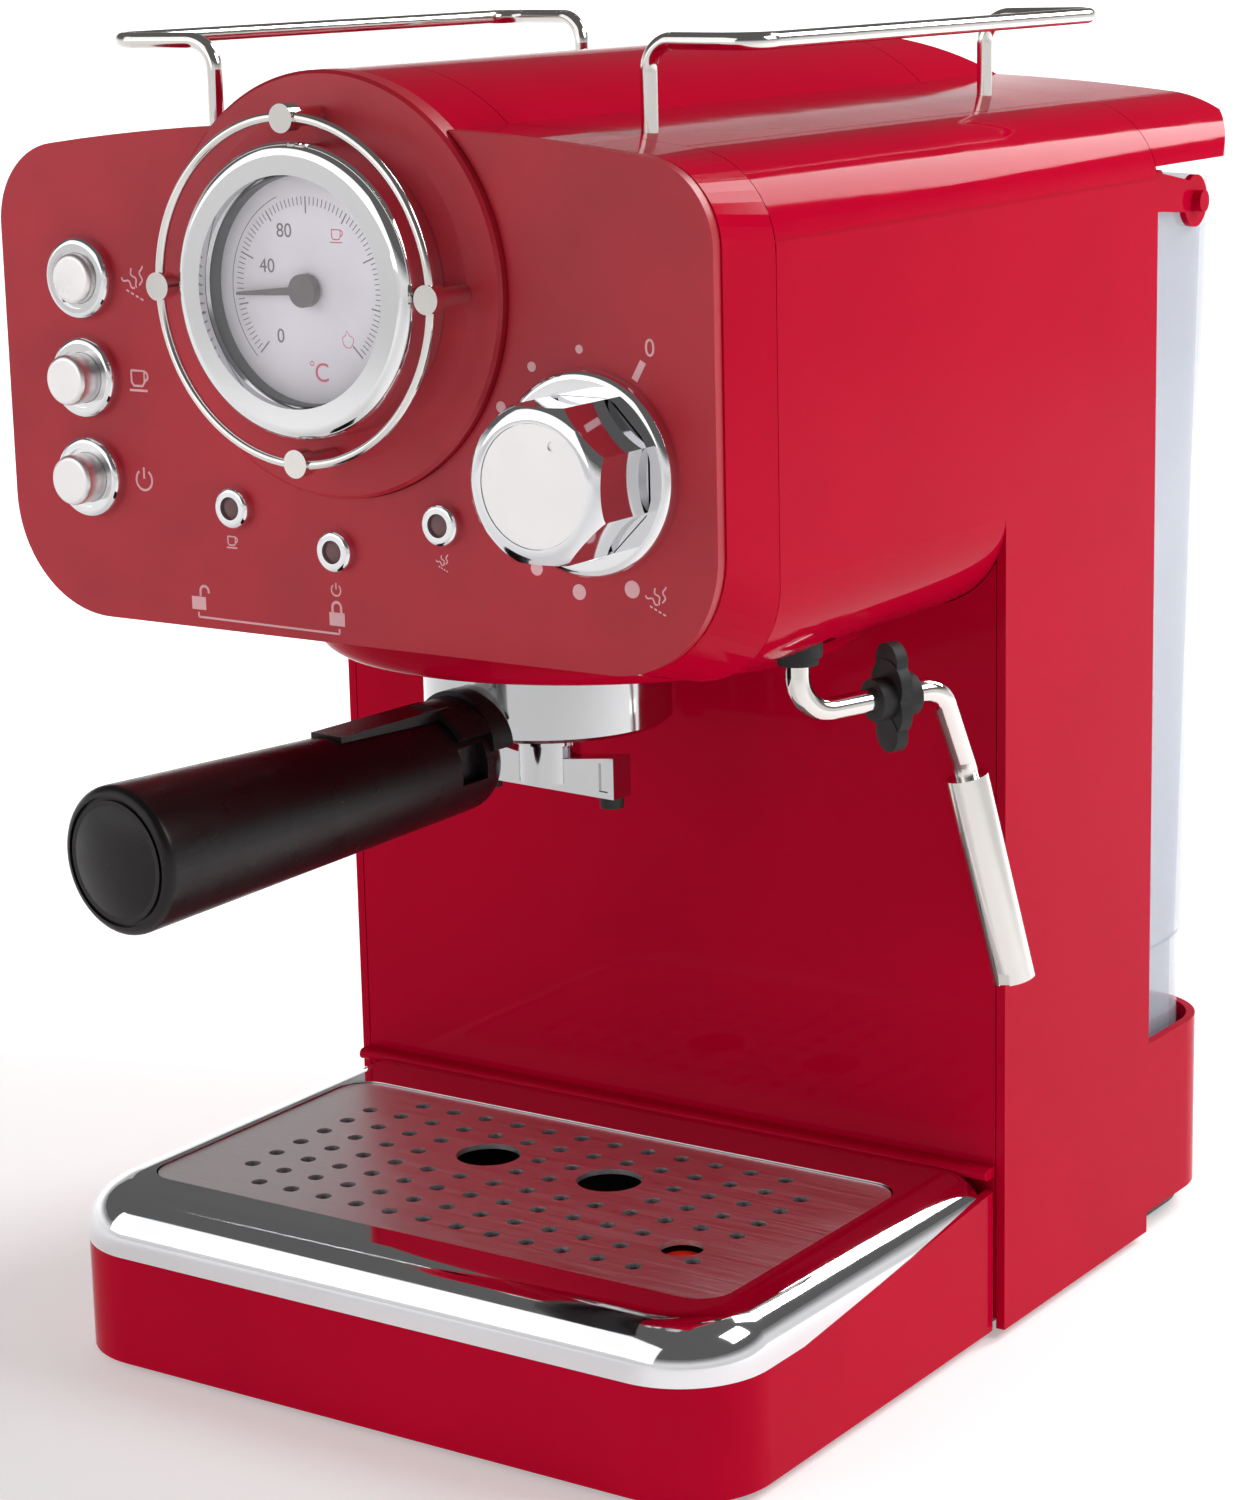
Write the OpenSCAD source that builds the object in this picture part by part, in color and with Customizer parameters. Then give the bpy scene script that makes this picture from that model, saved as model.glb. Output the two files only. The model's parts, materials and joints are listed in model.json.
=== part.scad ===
// Retro pump espresso machine with a thermometer, cup rails, portafilter,
// swivelling steam wand, drip tray and a rear water tank.
// Frame: X right, Y back, Z up. Origin: middle of the footprint, on the worktop.

/* [Body] */
// Width over the side covers
body_w = 210; // [200:1:220]
// Depth from the base front to the lid rear
body_d = 284; // [280:1:290]
// Wall thickness of the moulded covers
wall = 2.5; // [2:0.1:3]
// Height of the rubber feet
foot_h = 2.5; // [2:0.1:4]
// Radius of the rubber feet
foot_r = 9; // [7:0.5:11]
// Highest point of the arched head cover
head_top = 319.8; // [318:0.1:322]
// Underside of the head between the side covers
head_bottom = 193.5; // [192:0.1:195]
// Radius of the head's gentle crown
crown_r = 652; // [550:1:800]
// Rounding of the head's long top edges
head_top_r = 23; // [20:0.5:25]
// Rounding of the head's long bottom edges
head_bottom_r = 24; // [20:0.5:26]
// Radius of the round pan under the head
pan_r = 72; // [68:0.5:74]
// Underside of the round pan
pan_bottom = 183.8; // [183.5:0.1:185]

/* [Fascia] */
// Width of the front plate
fascia_w = 207.6; // [200:0.1:208]
// Lower edge of the front plate
fascia_bottom = 198.6; // [197:0.1:200]
// Thickness of the front plate
fascia_t = 3; // [2.5:0.1:3.5]
// Rounding of the plate's top corners
fascia_top_r = 20; // [16:0.5:23]
// Rounding of the plate's bottom corners
fascia_bottom_r = 29; // [24:0.5:32]

/* [Base and tray] */
// Width of the base
base_w = 205; // [200:0.5:206]
// Rounding of the base's front corners
base_corner_r = 24; // [18:0.5:28]
// Top of the chrome trim
trim_top = 46; // [45:0.1:47]
// Lower edge of the chrome trim at the front
trim_low_front = 31.4; // [29:0.1:34]
// Lower edge of the chrome trim at the back
trim_low_back = 41; // [38:0.1:42]
// Rounding of the trim's upper edge
trim_edge_r = 12; // [8:0.5:13]
// Width of the drip grid
grid_w = 177; // [170:0.5:180]
// Depth of the drip grid
grid_d = 91; // [88:0.5:93]
// Thickness of the drip grid
grid_t = 1.4; // [1:0.1:2]
// Spacing of the small holes across the grid
hole_pitch_x = 10.66; // [10:0.01:11]
// Spacing of the small holes along the grid
hole_pitch_y = 10.07; // [9.5:0.01:10.5]
// Radius of the small holes
hole_r = 2.1; // [1.8:0.1:2.4]
// Radius of the two large holes
big_hole_r = 8.6; // [7:0.1:9]
// Radius of the overflow float
float_r = 4.8; // [4:0.1:5]

/* [Thermometer] */
// Height of the thermometer's centre
gauge_z = 282.9; // [282:0.1:284]
// Radius of the round boss and of the hump behind it
boss_r = 49.2; // [47:0.1:50]
// How far the boss stands in front of the plate
boss_h = 2.6; // [2:0.1:3]
// Outer radius of the chrome bezel
bezel_r = 34; // [33:0.1:35]
// Opening radius of the chrome bezel
bezel_in_r = 26.5; // [25.5:0.1:27]
// How far the bezel stands in front of the plate
bezel_h = 16.9; // [16:0.1:18]
// How far the face of the dial stands in front of the plate
dial_h = 9.4; // [8:0.1:10]
// Radius of the wire guard ring
guard_r = 39.4; // [38.5:0.1:40]
// Wire radius of the guard ring
guard_wire_r = 1.1; // [0.9:0.05:1.3]
// How far the middle of the guard ring stands in front of the plate
guard_h = 15.5; // [15:0.1:16]

/* [Controls] */
// Distance of the button column from the middle
button_x = 77.8; // [76:0.1:79]
// Radius of a button
button_r = 6.1; // [5.5:0.1:6.5]
// Outer radius of a button's escutcheon
button_ring_r = 9.9; // [9.5:0.1:10.5]
// Radial gap round a button
slide_gap = 0.1; // [0.05:0.01:0.1]
// Outer radius of an indicator light
light_r = 5; // [4.5:0.1:5.5]
// Distance of the steam knob from the middle
knob_x = 70.5; // [69:0.1:72]
// Height of the steam knob's centre
knob_z = 244.2; // [243:0.1:245]
// Outer radius of the steam knob's escutcheon
knob_ring_r = 23.3; // [22:0.1:24]
// Radius of the steam knob to its corners
knob_r = 18.7; // [18:0.1:18.9]
// Radius of the rounding of the knob's front edge
knob_round = 4.9; // [4:0.1:6]
// How far the knob stands in front of the plate
knob_h = 22.4; // [21:0.1:24]

/* [Portafilter] */
// Distance of the group axis in front of the origin
group_front = 56.2; // [55:0.1:57]
// Outer radius of the portafilter ring
ring_r = 31.75; // [31:0.05:32]
// Underside of the portafilter ring
ring_bottom = 165.4; // [165:0.1:166]
// Locked heading of the handle, from straight ahead
pf_angle = -5.3; // [-12:0.1:0]
// Droop of the handle
pf_droop = 0.7; // [0:0.1:3]
// Radius of the handle grip at its free end
grip_r = 17.4; // [16:0.1:18]
// Radius of the grip next to the ring
grip_near_r = 13.1; // [12:0.1:14]
// Distance of the grip's end from the group axis
grip_end = 147; // [140:1:150]

/* [Steam wand] */
// Radius of the steam pipe
pipe_r = 3; // [2.5:0.1:3.2]
// Radius of the frothing sleeve
sleeve_r = 5.4; // [5:0.1:6]
// Bend radius of the steam pipe
pipe_bend = 9; // [8:0.5:10]

/* [Cup rails] */
// Wire radius of the cup rails
rail_r = 2; // [1.6:0.1:2.2]
// Height of the rails' centre line
rail_z = 337; // [335:0.5:338]
// Distance of the rail legs from the middle
rail_leg_x = 64; // [62:0.5:66]
// Distance of the outer bars from the middle
rail_out_x = 94.5; // [92:0.5:97]

/* [Water tank] */
// Width of the water tank
tank_w = 199; // [194:0.5:199]
// Underside of the water tank
tank_bottom = 44; // [40:0.5:50]
// Rim height of the water tank
tank_top = 291.5; // [288:0.5:292]
// Top of the red tank holder
holder_top = 56; // [52:0.1:60]

/* [Hidden] */
$fn = 48;

red = "#c4122a";
deep_red = "#a50d22";
chrome = "#d7dadd";
steel = "#b9bbbd";
black = "#1d1b1d";
grey = "#6d6f72";

hw = body_w / 2;
y_front = -body_d / 2;
y_back = body_d / 2;
y_fascia = y_front + 5.7;
y_shell = y_fascia + fascia_t;
y_seam = y_front + 29.2;
y_tower = y_front + 136;
y_rear = y_back - 64.2;
y_group = -group_front;
seam_gap = 0.3;
cover_x = hw - head_top_r;

button_z = [282, 257.9, 233.5];
button_out = [4.7, 8.7, 8.7];
light_spots = [[-32.7, 229], [-2.1, 220.9], [29.2, 229.5]];

grid_y0 = -120.4;
grid_top = trim_top - 0.4;
tray_y1 = grid_y0 + grid_d;
float_spot = [62.1, -92.9];
big_hole_spots = [[-19.4, -61.9], [19.4, -61.9]];
foot_spots = [[-78, -112], [78, -112], [-78, 96], [78, 96]];

ring_top = pan_bottom - 0.8;
grip_z = 161.7;
grip_start = 28.6;
neck_r = 13.2;
neck_rise = 4.2;
neck_end = 36;
clip_end = 81;
spout_half = 3.4;
spout_x = 20.5;

wand_top = [86, -74.5, 197];
wand_path = [wand_top, [86, -74.5, 178.5], [103.4, -37.2, 180], [102.3, -22.6, 157.5], [111.9, -14.2, 101.5]];
sleeve_top = wand_path[3];
sleeve_dir = unit(wand_path[4] - wand_path[3]);
grip_from = wand_path[1] + 0.52 * (wand_path[2] - wand_path[1]);
grip_to = wand_path[1] + 0.8 * (wand_path[2] - wand_path[1]);

lid_low = 297.5;
lid_arc_z = 259.2;
lid_arc_r = 72.8;
lid_arc_y = y_rear + 2.2;
pin_y = 108.4;
pin_z = 286.3;
holder_y1 = y_back - 13.6;
tank_y0 = y_rear + 2.4;
tank_y1 = holder_y1 - wall - 0.6;
tank_r = 21.5;
tank_t = 2;
tank_step = 0.9;
tank_ledge = 81.5;
tank_lean = 12.2;
knob_face_r = knob_r - knob_round;
knob_flat_r = knob_face_r + 0.5;
holder_low = 6.5;
groove_z = 294.3;
valve_y = 108;
gland_x = -62;
gland_z = 24;
pump_x = -28;
pump_y = 28;
pump_z = 70;
hose_r = 3.5;
hose_z = 24;
hose_bend = 9;

// ---- small helpers ----

function unit(v) = v / norm(v);

// Extrudes an XZ outline from y0 to y1
module along_y(y0, y1) {
    translate([0, y1, 0])
        rotate([90, 0, 0])
            linear_extrude(y1 - y0)
                children();
}

// Extrudes a YZ outline from x0 to x1
module along_x(x0, x1) {
    translate([x0, 0, 0])
        rotate([90, 0, 90])
            linear_extrude(x1 - x0)
                children();
}

// Places a piece that stands out of the front plate
module on_fascia(x, z) {
    translate([x, y_fascia, z])
        rotate([90, 0, 0])
            children();
}

// Places a piece of the portafilter: group axis at Z, handle along -Y
module at_group() {
    translate([0, y_group, 0])
        rotate([0, 0, pf_angle])
            children();
}

// A ring or tube standing on z0
module tube(r_out, r_in, z0, z1) {
    translate([0, 0, z0])
        difference() {
            cylinder(h = z1 - z0, r = r_out);
            translate([0, 0, -1])
                cylinder(h = z1 - z0 + 2, r = r_in);
        }
}

// A straight round bar between two points
module bar(a, b, r) {
    d = b - a;
    translate(a)
        rotate([0, acos(d[2] / norm(d)), atan2(d[1], d[0])])
            cylinder(h = norm(d), r = r);
}

// A quarter-turn style elbow at point p from direction d1 to direction d2
module elbow(p, d1, d2, bend, r) {
    turn = acos(d1 * d2);
    n = unit(cross(d1, d2));
    m = cross(n, d1);
    c = p - d1 * bend * tan(turn / 2) + m * bend;
    multmatrix([[-m[0], d1[0], n[0], c[0]],
                [-m[1], d1[1], n[1], c[1]],
                [-m[2], d1[2], n[2], c[2]],
                [0, 0, 0, 1]])
        rotate_extrude(angle = turn)
            translate([bend, 0])
                circle(r);
}

function turn_at(path, i) = acos(unit(path[i] - path[i - 1]) * unit(path[i + 1] - path[i]));
function cut_at(path, i, bend) =
    (i == 0 || i == len(path) - 1) ? 0 : bend * tan(turn_at(path, i) / 2);

// A round wire or pipe that follows a path with rounded corners
module bent_bar(path, bend, r) {
    lap = 0.25;
    for (i = [0 : len(path) - 2]) {
        d = unit(path[i + 1] - path[i]);
        a = cut_at(path, i, bend);
        b = cut_at(path, i + 1, bend);
        bar(path[i] + d * (a > 0 ? a - lap : 0), path[i + 1] - d * (b > 0 ? b - lap : 0), r - 0.02);
    }
    for (i = [1 : len(path) - 2])
        elbow(path[i], unit(path[i] - path[i - 1]), unit(path[i + 1] - path[i]), bend, r);
}

// Rectangle with one radius for its front corners and one for its back corners
module plan(half, y0, y1, r0, r1) {
    translate([-half, y0 + r0])
        square([2 * half, y1 - y0 - r0 - r1]);
    translate([-half + r0, y0])
        square([2 * (half - r0), r0 + 0.01]);
    translate([-half + r1, y1 - r1 - 0.01])
        square([2 * (half - r1), r1 + 0.01]);
    for (s = [-1, 1]) {
        translate([s * (half - r0), y0 + r0])
            circle(r0);
        translate([s * (half - r1), y1 - r1])
            circle(r1);
    }
}

// The head's section: flat sides, rounded edges and a gently crowned top
module head_outline(half, zb, zt, rt, rb, cr) {
    cx = half - rt;
    cz = zt - cr + sqrt(pow(cr - rt, 2) - cx * cx);
    tx = cx * cr / (cr - rt);
    intersection() {
        translate([0, zt - cr])
            circle(cr, $fn = 360);
        translate([-tx, cz - 1])
            square([2 * tx, zt - cz + 2]);
    }
    for (s = [-1, 1]) {
        translate([s * cx, cz])
            circle(rt);
        translate([s * (half - rb), zb + rb])
            circle(rb);
    }
    translate([-half, zb + rb])
        square([2 * half, cz - zb - rb]);
    translate([-half + rb, zb])
        square([2 * (half - rb), rb + 0.01]);
}

// Section of the covers, drawn in by t
module cover_section(t) {
    head_outline(hw - t, head_bottom + t, head_top - t, head_top_r - t, head_bottom_r - t, crown_r - t);
}

// Section of the hump that runs back from the thermometer, drawn in by t
module hump_section(t) {
    intersection() {
        translate([0, gauge_z])
            circle(boss_r - t, $fn = 96);
        translate([-hw, head_top - 12])
            square([body_w, 40]);
    }
}

// Outline of the front plate
module fascia_outline() {
    head_outline(fascia_w / 2, fascia_bottom, head_top, fascia_top_r, fascia_bottom_r, crown_r);
}

// Slab with rounded front corners and a rounded upper edge, as the chrome trim has
module pillow(half, y0, y1, z0, z1, rc, rf) {
    h = z1 - z0;
    for (s = [-1, 1])
        translate([s * (half - rc), y0 + rc, z0])
            rotate_extrude() {
                square([rc - rf, h]);
                square([rc, h - rf]);
                translate([rc - rf, h - rf])
                    intersection() {
                        circle(rf);
                        square(rf);
                    }
            }
    along_y(y0 + rc, y1)
        head_half(half, z0, z1, rf);
    intersection() {
        along_x(-half + rc, half - rc)
            union() {
                translate([y0 + rf, z0])
                    square([y1 - y0 - rf, h]);
                translate([y0, z0])
                    square([rf + 0.01, h - rf]);
                translate([y0 + rf, z1 - rf])
                    circle(rf);
            }
        translate([-half, y0, z0])
            cube([2 * half, y1 - y0, h]);
    }
}

// Section with rounded top corners only
module head_half(half, z0, z1, rf) {
    translate([-half, z0])
        square([2 * half, z1 - z0 - rf]);
    translate([-half + rf, z0])
        square([2 * (half - rf), z1 - z0]);
    for (s = [-1, 1])
        translate([s * (half - rf), z1 - rf])
            circle(rf);
}

// Region below (side -1) or above (side 1) the rising seam between base and trim
module seam_region(side, gap) {
    reach = 60;
    along_x(-hw - 5, hw + 5)
        polygon([
            [y_front - 5, trim_low_front + gap],
            [y_front + 40, trim_low_front + gap],
            [y_tower, trim_low_back + gap],
            [y_tower, trim_low_back + gap + side * reach],
            [y_front - 5, trim_low_back + gap + side * reach]
        ]);
}

// ---- base and tower ----

module base_housing() {
    color(red)
        intersection() {
            difference() {
                translate([0, 0, foot_h])
                    linear_extrude(trim_top - foot_h - 3)
                        plan(base_w / 2, y_front, y_tower - seam_gap, base_corner_r, 2);
                translate([0, 0, foot_h - 1])
                    linear_extrude(trim_top)
                        plan(base_w / 2 - wall, y_front + wall, y_tower + 5, base_corner_r - wall, 2);
            }
            seam_region(-1, 0);
        }
}

module base_plate() {
    half = base_w / 2 - wall - 0.4;
    color(black)
        translate([0, 0, foot_h])
            linear_extrude(wall)
                plan(half, y_front + wall + 0.4, y_back - 20, base_corner_r - wall, tank_r - wall);
}

module rubber_feet() {
    color(black)
        for (p = foot_spots)
            translate([p[0], p[1], 0])
                cylinder(h = foot_h, r = foot_r);
}

module inner_frame() {
    deck_z = head_bottom + wall + 2;
    color(grey)
        difference() {
            union() {
                translate([-hw + 8, y_rear - 8, foot_h + wall])
                    cube([body_w - 16, 3, 280]);
                translate([-cover_x + 4, y_seam + 6, deck_z])
                    cube([2 * cover_x - 8, y_rear - 7 - y_seam - 6, 3]);
                for (s = [-1, 1])
                    translate([s * 60 - 1.5, y_tower + 8, foot_h + wall])
                        cube([3, y_rear - 7 - y_tower - 8, deck_z - foot_h - wall + 1]);
            }
            translate([0, y_group, deck_z - 1])
                cylinder(h = 5, r = 32);
            translate([pump_x, pump_y, deck_z - 1])
                cylinder(h = 5, r = hose_r + 1);
            hose_gap();
        }
}

// Clearance for the hose that comes in from the tank
module hose_gap() {
    translate([pump_x, y_rear - 20, hose_z])
        rotate([-90, 0, 0])
            cylinder(h = 40, r = hose_r + 1);
}

module tower_front_wall() {
    half = hw - wall - seam_gap;
    lip = 4;
    color(deep_red) {
        along_y(y_tower, y_tower + wall)
            difference() {
                translate([-half, foot_h + wall + 0.2])
                    square([2 * half, head_bottom + head_bottom_r - foot_h - wall]);
                cover_section(-0.2);
            }
        translate([-half, y_tower - lip, trim_top - 1.6])
            cube([2 * half, lip + 0.5, 3]);
        translate([-half, y_tower - lip, trim_top - 0.1])
            rotate([0, 90, 0])
                cylinder(h = 2 * half, r = 1.5);
    }
}

// Right-hand strip of the cover's section between two heights
module cover_strip(z_low, z_high) {
    intersection() {
        difference() {
            cover_section(0);
            cover_section(wall);
        }
        translate([cover_x, z_low])
            square([60, z_high - z_low]);
    }
}

// Right side cover, an L-shaped wall with rolled edges; the left one is its mirror image
module side_cover() {
    low = head_bottom + head_bottom_r;
    high = head_top - head_top_r - 3;
    y0 = y_seam + seam_gap;
    difference() {
        union() {
            along_x(hw - wall, hw)
                polygon([
                    [y0, low], [y_tower, low], [y_tower, foot_h],
                    [y_rear, foot_h], [y_rear, high], [y0, high]
                ]);
            along_y(y0, y_rear)
                cover_strip(high, head_top);
            along_y(y0, y_tower)
                cover_strip(head_bottom, low);
        }
        translate([wand_top[0], wand_top[1], head_bottom - 5])
            cylinder(h = 20, r = 9);
        translate([hw - 0.4, y0 - 1, groove_z])
            cube([1, y_rear - y0 + 2, 0.5]);
    }
}

module side_cover_right() {
    color(red)
        side_cover();
}

module side_cover_left() {
    color(red)
        mirror([1, 0, 0])
            side_cover();
}

module back_panel() {
    half = hw - wall - seam_gap;
    color(black)
        difference() {
            translate([-half, y_rear - wall, foot_h + wall + 0.2])
                cube([2 * half, wall, head_top - head_top_r - foot_h - wall - 4]);
            hose_gap();
        }
}

// ---- head ----

// Blends from the cover section at the seam to the plate's outline, drawn in by t and longer by e
module front_shell_solid(t, e) {
    thin = 0.02;
    hull() {
        along_y(y_seam + e - thin, y_seam + e)
            cover_section(t);
        along_y(y_shell - e, y_shell - e + thin)
            head_outline(hw - 0.8 - t, fascia_bottom + t, head_top - t, fascia_top_r - t,
                         fascia_bottom_r - t, crown_r - t);
    }
}

module front_shell() {
    past = 0.6;
    color(red)
        difference() {
            union() {
                front_shell_solid(0, 0);
                along_y(y_shell, y_seam)
                    hump_section(0);
            }
            front_shell_solid(wall, past);
            along_y(y_shell - past, y_seam + past)
                hump_section(wall);
        }
}

module head_underside() {
    round_r = 5;
    half = cover_x - seam_gap;
    color(red)
        difference() {
            union() {
                translate([-half, y_seam + seam_gap, head_bottom])
                    cube([2 * half, y_tower - y_seam - 2 * seam_gap, wall]);
                intersection() {
                    translate([0, y_front + 108, pan_bottom])
                        rotate_extrude($fn = 96) {
                            square([pan_r - round_r, head_bottom - pan_bottom + 1]);
                            translate([0, round_r])
                                square([pan_r, head_bottom - pan_bottom - round_r + 1]);
                            translate([pan_r - round_r, round_r])
                                circle(round_r);
                        }
                    translate([-hw, y_seam, 0])
                        cube([body_w, y_tower - seam_gap - y_seam, head_bottom + wall]);
                }
            }
            intersection() {
                translate([0, y_front + 108, pan_bottom + wall])
                    cylinder(h = 20, r = pan_r - round_r, $fn = 96);
                translate([-hw, y_seam + 4, 0])
                    cube([body_w, y_tower - y_seam - 7, head_top]);
            }
            translate([0, y_group, pan_bottom - 1])
                cylinder(h = 30, r = ring_r + 0.4);
            translate([wand_top[0], wand_top[1], head_bottom - 5])
                cylinder(h = 20, r = 9);
        }
}

module fascia() {
    color(red)
        difference() {
            along_y(y_fascia, y_shell)
                fascia_outline();
            on_fascia(0, gauge_z)
                translate([0, 0, -fascia_t - 1])
                    cylinder(h = fascia_t + 2, r = boss_r + 0.2, $fn = 96);
            for (z = button_z)
                on_fascia(-button_x, z)
                    translate([0, 0, -fascia_t - 1])
                        cylinder(h = fascia_t + 2, r = button_r + 2.2);
            for (p = light_spots)
                on_fascia(p[0], p[1])
                    translate([0, 0, -fascia_t - 1])
                        cylinder(h = fascia_t + 2, r = light_r - 1.5);
            on_fascia(knob_x, knob_z)
                translate([0, 0, -fascia_t - 1])
                    cylinder(h = fascia_t + 2, r = 6);
        }
}

module gauge_boss() {
    color(red)
        on_fascia(0, gauge_z)
            difference() {
                rotate_extrude($fn = 96)
                    polygon([
                        [0, -fascia_t],
                        [boss_r, -fascia_t],
                        [boss_r, boss_h - 0.8],
                        [boss_r - 0.8, boss_h],
                        [boss_r - 9, boss_h + 0.5],
                        [0, boss_h + 0.5]
                    ]);
                translate([0, 0, -fascia_t - 1])
                    cylinder(h = 20, r = bezel_r - 1, $fn = 96);
            }
}

module top_cover() {
    color(red)
        difference() {
            union() {
                along_y(y_seam + seam_gap, y_rear)
                    intersection() {
                        difference() {
                            cover_section(0);
                            cover_section(wall);
                        }
                        translate([-cover_x + seam_gap, head_top - 12])
                            square([2 * (cover_x - seam_gap), 20]);
                    }
                along_y(y_seam + seam_gap, y_rear)
                    hump_section(0);
            }
            along_y(y_seam - 1, y_rear + 1)
                union() {
                    hump_section(wall);
                    intersection() {
                        cover_section(wall);
                        translate([-boss_r / 2, head_top - 30])
                            square([boss_r, 30]);
                    }
                }
            for (s = [-1, 1], p = [rail_front_y(), rail_back_y()])
                translate([s * rail_leg_x, p, head_top - 20])
                    cylinder(h = 30, r = rail_r + 0.1);
        }
}

function rail_front_y() = y_front + 42;
function rail_back_y() = y_rear - 19.5;

// Bent wire rail; the legs pass through the top cover
module cup_rail(side) {
    foot_z = head_top - 9;
    path = [
        [side * rail_leg_x, rail_front_y(), foot_z],
        [side * rail_leg_x, rail_front_y(), rail_z],
        [side * rail_out_x, rail_front_y() - 4, rail_z],
        [side * rail_out_x, rail_back_y() + 6, rail_z],
        [side * rail_leg_x, rail_back_y(), rail_z],
        [side * rail_leg_x, rail_back_y(), foot_z]
    ];
    color(chrome)
        bent_bar(path, 7, rail_r);
}

module cup_rail_right() {
    cup_rail(1);
}

module cup_rail_left() {
    cup_rail(-1);
}

// ---- thermometer ----

module gauge_bezel() {
    color(chrome)
        on_fascia(0, gauge_z)
            rotate_extrude($fn = 96)
                difference() {
                    union() {
                        translate([bezel_in_r, 0])
                            square([bezel_r - bezel_in_r - 3, bezel_h]);
                        translate([0, boss_h + 0.6])
                            square([bezel_r, bezel_h - boss_h - 3.6]);
                        translate([bezel_r - 3, bezel_h - 3])
                            circle(3);
                        translate([bezel_in_r, -8])
                            square([bezel_r - bezel_in_r - 1.2, 12]);
                    }
                    translate([-1, -9])
                        square([bezel_in_r + 1, 40]);
                    translate([bezel_in_r - 1, bezel_h - 3.9])
                        square([1.6, 1.6]);
                }
}

module gauge_lens() {
    color("#dfe6ec", 0.3)
        on_fascia(0, gauge_z)
            translate([0, 0, bezel_h - 3.7])
                cylinder(h = 1.2, r = bezel_in_r - 0.1, $fn = 96);
}

module gauge_dial() {
    color("#e6dfee")
        on_fascia(0, gauge_z)
            difference() {
                translate([0, 0, -8])
                    cylinder(h = 8 + dial_h, r = bezel_in_r - 0.1, $fn = 96);
                translate([0, 0, dial_h - 2.6])
                    cylinder(h = 5, r = 1.05);
            }
}

module gauge_needle() {
    color("#6b6263")
        on_fascia(0, gauge_z) {
            translate([0, 0, dial_h - 2.2])
                cylinder(h = 3.8, r = 1);
            translate([0, 0, dial_h + 0.6])
                cylinder(h = 2.2, r = 3.8);
            rotate([0, 0, 184])
                translate([0, 0, dial_h + 1])
                    linear_extrude(0.8)
                        polygon([[0, -1.1], [20.2, -0.35], [20.2, 0.35], [0, 1.1]]);
        }
}

module guard_wire(extra) {
    rotate_extrude($fn = 96)
        translate([guard_r, guard_h])
            circle(guard_wire_r + extra);
}

module guard_ring() {
    color(steel)
        on_fascia(0, gauge_z)
            guard_wire(0);
}

module guard_pegs() {
    color(steel)
        on_fascia(0, gauge_z)
            difference() {
                for (a = [0 : 90 : 270])
                    rotate([0, 0, a])
                        translate([guard_r - 0.3, 0, 0]) {
                            translate([0, 0, boss_h + 0.5])
                                cylinder(h = guard_h - 2.6, r = 2.3);
                            translate([0, 0, guard_h - 2.2])
                                cylinder(h = 3.8, r = 3.3);
                        }
                guard_wire(0.02);
            }
}

// ---- buttons and lights ----

module button_escutcheons() {
    color(chrome)
        for (z = button_z)
            on_fascia(-button_x, z)
                rotate_extrude()
                    difference() {
                        union() {
                            translate([0, -8])
                                square([button_r + 2, 9]);
                            square([button_ring_r, 1.5]);
                            translate([button_ring_r - 1.5, 1.5])
                                circle(1.5);
                            square([button_ring_r - 1.5, 3]);
                        }
                        translate([-1, -9])
                            square([button_r + slide_gap + 1, 20]);
                        translate([button_r - 1, 2.2])
                            square([2.2, 2]);
                        translate([button_r + 2.05, -2.01])
                            square([6, 2]);
                    }
}

module button_switches() {
    color(black)
        for (z = button_z)
            on_fascia(-button_x, z)
                translate([-7, -9, -34])
                    cube([14, 18, 21]);
}

// Round push button number i, seen from the top
module button(i) {
    rear = -8;
    out = button_out[i];
    color(chrome)
        on_fascia(-button_x, button_z[i])
            rotate_extrude()
                union() {
                    translate([0, rear])
                        square([button_r, out - rear - 1.2]);
                    translate([0, out - 2])
                        square([button_r - 1.2, 2]);
                    translate([button_r - 1.2, out - 1.2])
                        intersection() {
                            circle(1.2);
                            translate([-1, -1])
                                square(3);
                        }
                }
}

module button_steam() {
    button(0);
}

module button_brew() {
    button(1);
}

module button_power() {
    button(2);
}

module light_bezels() {
    color(chrome)
        for (p = light_spots)
            on_fascia(p[0], p[1])
                rotate_extrude()
                    difference() {
                        union() {
                            square([light_r, 1.4]);
                            translate([light_r - 1.2, 1.4])
                                circle(1.2);
                            square([light_r - 1.2, 2.6]);
                            translate([0, -5])
                                square([light_r - 1.6, 5.1]);
                        }
                        translate([-1, -6])
                            square([light_r - 1.2, 10]);
                    }
}

module light_lenses() {
    color("#5a1a22")
        for (p = light_spots)
            on_fascia(p[0], p[1])
                rotate_extrude()
                    union() {
                        translate([0, -5])
                            square([light_r - 2.2, 6]);
                        intersection() {
                            translate([0, -1.9])
                                circle(4.3);
                            square([light_r - 2.2, 5]);
                        }
                    }
}

// ---- steam knob ----

module knob_escutcheon() {
    color(chrome)
        on_fascia(knob_x, knob_z)
            rotate_extrude($fn = 96)
                difference() {
                    union() {
                        square([knob_ring_r, 2]);
                        translate([knob_ring_r - 2, 2])
                            circle(2);
                        square([knob_ring_r - 2, 4]);
                    }
                    translate([-1, -3])
                        square([4.4, 10]);
                    translate([0, 2.4])
                        square([knob_ring_r - 4.2, 4]);
                    translate([-1, -3])
                        square([knob_ring_r + 2, 3]);
                }
}

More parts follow.
